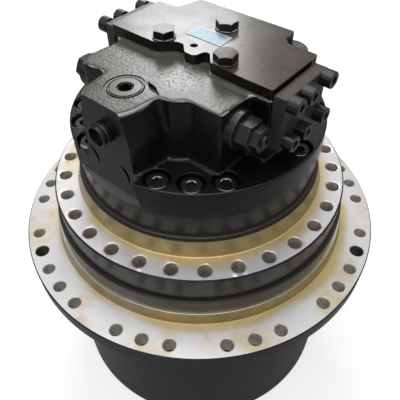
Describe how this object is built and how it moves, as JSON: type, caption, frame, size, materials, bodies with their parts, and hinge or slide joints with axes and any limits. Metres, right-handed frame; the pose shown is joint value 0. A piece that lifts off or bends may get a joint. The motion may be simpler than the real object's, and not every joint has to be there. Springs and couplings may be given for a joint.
{
  "type": "excavator final drive",
  "caption": "Planetary travel drive with sprocket flange, frame flange and axial piston motor, standing on its end cover.",
  "frame": {"origin": "centre of the end cover's outer face, on which the drive stands", "axes": "+Z along the turning axis from the end cover to the motor, -Y out of the flat side of the motor casing"},
  "size_m": [0.5, 0.5, 0.5676],
  "materials": {
    "machined_steel": "turned steel, lightly oiled",
    "bearing_steel": "ground and lapped",
    "gear_steel": "hardened and ground",
    "dark_cast_iron": "dark primer on cast iron",
    "black_paint": "glossy black-brown paint over rough castings",
    "black_oxide": "blackened steel",
    "seal_rubber": "moulded rubber",
    "friction_lining": "sintered lining on a steel disc"
  },
  "bodies": {
    "spindle": {"spindle_housing": "machined_steel", "bearing_nut": "black_oxide", "lower_bearing_inner_race": "bearing_steel", "upper_bearing_inner_race": "bearing_steel", "seal_ring_upper": "bearing_steel", "carrier_2": "gear_steel", "planet_pin_2_1": "bearing_steel", "planet_pin_2_2": "bearing_steel", "planet_pin_2_3": "bearing_steel", "shaft_bearing_lower": "bearing_steel", "shaft_bearing_upper": "bearing_steel", "shaft_seal": "seal_rubber", "valve_plate": "bearing_steel", "brake_plate": "bearing_steel", "brake_disc_spring": "bearing_steel", "rear_casing": "black_paint", "port_plug": "black_paint", "side_plug": "black_oxide", "back_port_plug_1": "black_oxide", "back_port_plug_2": "black_oxide", "relief_valve": "black_paint", "check_valve": "black_paint", "left_end_cover": "black_paint", "right_end_cover": "black_paint", "manifold_cover": "black_paint", "manifold_bolt_1": "black_paint", "manifold_bolt_2": "black_paint", "manifold_bolt_3": "black_paint"},
    "hub": {"hub": "machined_steel", "ring_gear": "gear_steel", "end_cover": "dark_cast_iron", "drain_plug": "black_oxide", "level_plug": "black_oxide", "thrust_pad": "bearing_steel", "lower_bearing_outer_race": "bearing_steel", "upper_bearing_outer_race": "bearing_steel", "seal_ring_lower": "bearing_steel"},
    "lower_rollers": {"lower_bearing_rollers": "bearing_steel"},
    "upper_rollers": {"upper_bearing_rollers": "bearing_steel"},
    "planet_2_1": {"planet_2_1": "gear_steel"},
    "planet_2_2": {"planet_2_2": "gear_steel"},
    "planet_2_3": {"planet_2_3": "gear_steel"},
    "carrier_1": {"carrier_1": "gear_steel", "sun_2": "gear_steel", "planet_pin_1_1": "bearing_steel", "planet_pin_1_2": "bearing_steel", "planet_pin_1_3": "bearing_steel"},
    "planet_1_1": {"planet_1_1": "gear_steel"},
    "planet_1_2": {"planet_1_2": "gear_steel"},
    "planet_1_3": {"planet_1_3": "gear_steel"},
    "motor_shaft": {"sun_1": "gear_steel", "motor_shaft": "gear_steel", "cylinder_block": "gear_steel", "brake_disc": "friction_lining"},
    "swash_plate": {"swash_plate": "gear_steel"},
    "retainer_plate": {"retainer_plate": "gear_steel"},
    "control_piston": {"control_piston": "bearing_steel"},
    "brake_piston": {"brake_piston": "machined_steel"},
    "travel_spool": {"travel_spool": "bearing_steel"}
  },
  "joints": [
    {"name": "hub_spin", "type": "hinge", "parent": "spindle", "child": "hub", "pos_m": [0, 0, 0.3], "axis": [0, 0, 1], "continuous": true},
    {"name": "lower_roller_spin", "type": "hinge", "parent": "spindle", "child": "lower_rollers", "pos_m": [0, 0, 0.2323], "axis": [0, 0, 1], "continuous": true},
    {"name": "upper_roller_spin", "type": "hinge", "parent": "spindle", "child": "upper_rollers", "pos_m": [0, 0, 0.2783], "axis": [0, 0, 1], "continuous": true},
    {"name": "planet_2_1_spin", "type": "hinge", "parent": "spindle", "child": "planet_2_1", "pos_m": [0.108, 0, 0.145], "axis": [0, 0, 1], "continuous": true},
    {"name": "planet_2_2_spin", "type": "hinge", "parent": "spindle", "child": "planet_2_2", "pos_m": [-0.054, 0.09353, 0.145], "axis": [0, 0, 1], "continuous": true},
    {"name": "planet_2_3_spin", "type": "hinge", "parent": "spindle", "child": "planet_2_3", "pos_m": [-0.054, -0.09353, 0.145], "axis": [0, 0, 1], "continuous": true},
    {"name": "carrier_1_spin", "type": "hinge", "parent": "spindle", "child": "carrier_1", "pos_m": [0, 0, 0.096], "axis": [0, 0, 1], "continuous": true},
    {"name": "planet_1_1_spin", "type": "hinge", "parent": "carrier_1", "child": "planet_1_1", "pos_m": [0.108, 0, 0.07], "axis": [0, 0, 1], "continuous": true},
    {"name": "planet_1_2_spin", "type": "hinge", "parent": "carrier_1", "child": "planet_1_2", "pos_m": [-0.054, 0.09353, 0.07], "axis": [0, 0, 1], "continuous": true},
    {"name": "planet_1_3_spin", "type": "hinge", "parent": "carrier_1", "child": "planet_1_3", "pos_m": [-0.054, -0.09353, 0.07], "axis": [0, 0, 1], "continuous": true},
    {"name": "motor_shaft_spin", "type": "hinge", "parent": "spindle", "child": "motor_shaft", "pos_m": [0, 0, 0.3], "axis": [0, 0, 1], "continuous": true},
    {"name": "swash_tilt", "type": "hinge", "parent": "spindle", "child": "swash_plate", "pos_m": [0, 0, 0.2683], "axis": [1, 0, 0], "range_deg": [0, 8], "stiffness_Nm_per_rad": 20, "springref_deg": -5.73},
    {"name": "retainer_spin", "type": "hinge", "parent": "swash_plate", "child": "retainer_plate", "pos_m": [0, 0.00267, 0.30595], "axis": [0, 0.2588, 0.9659], "continuous": true},
    {"name": "control_piston_slide", "type": "slide", "parent": "spindle", "child": "control_piston", "axis": [0, 0, 1], "range_m": [0, 0.0085]},
    {"name": "brake_piston_slide", "type": "slide", "parent": "spindle", "child": "brake_piston", "axis": [0, 0, 1], "range_m": [0, 0.003], "stiffness_N_per_m": 20000, "springref_m": -0.005, "deforming": ["brake_disc_spring"]},
    {"name": "travel_spool_slide", "type": "slide", "parent": "spindle", "child": "travel_spool", "axis": [1, 0, 0], "range_m": [-0.008, 0.008], "stiffness_N_per_m": 5000}
  ],
  "couplings": [
    {"joint": "lower_roller_spin", "follows": "hub_spin", "ratio": 0.53214},
    {"joint": "upper_roller_spin", "follows": "hub_spin", "ratio": 0.53214},
    {"joint": "planet_2_1_spin", "follows": "hub_spin", "ratio": 2.5},
    {"joint": "planet_2_2_spin", "follows": "hub_spin", "ratio": 2.5},
    {"joint": "planet_2_3_spin", "follows": "hub_spin", "ratio": 2.5},
    {"joint": "carrier_1_spin", "follows": "hub_spin", "ratio": -5},
    {"joint": "planet_1_1_spin", "follows": "hub_spin", "ratio": 15},
    {"joint": "planet_1_2_spin", "follows": "hub_spin", "ratio": 15},
    {"joint": "planet_1_3_spin", "follows": "hub_spin", "ratio": 15},
    {"joint": "motor_shaft_spin", "follows": "hub_spin", "ratio": -35},
    {"joint": "retainer_spin", "follows": "hub_spin", "ratio": -35},
    {"joint": "control_piston_slide", "follows": "swash_tilt", "m_per_rad": 0.06}
  ]
}
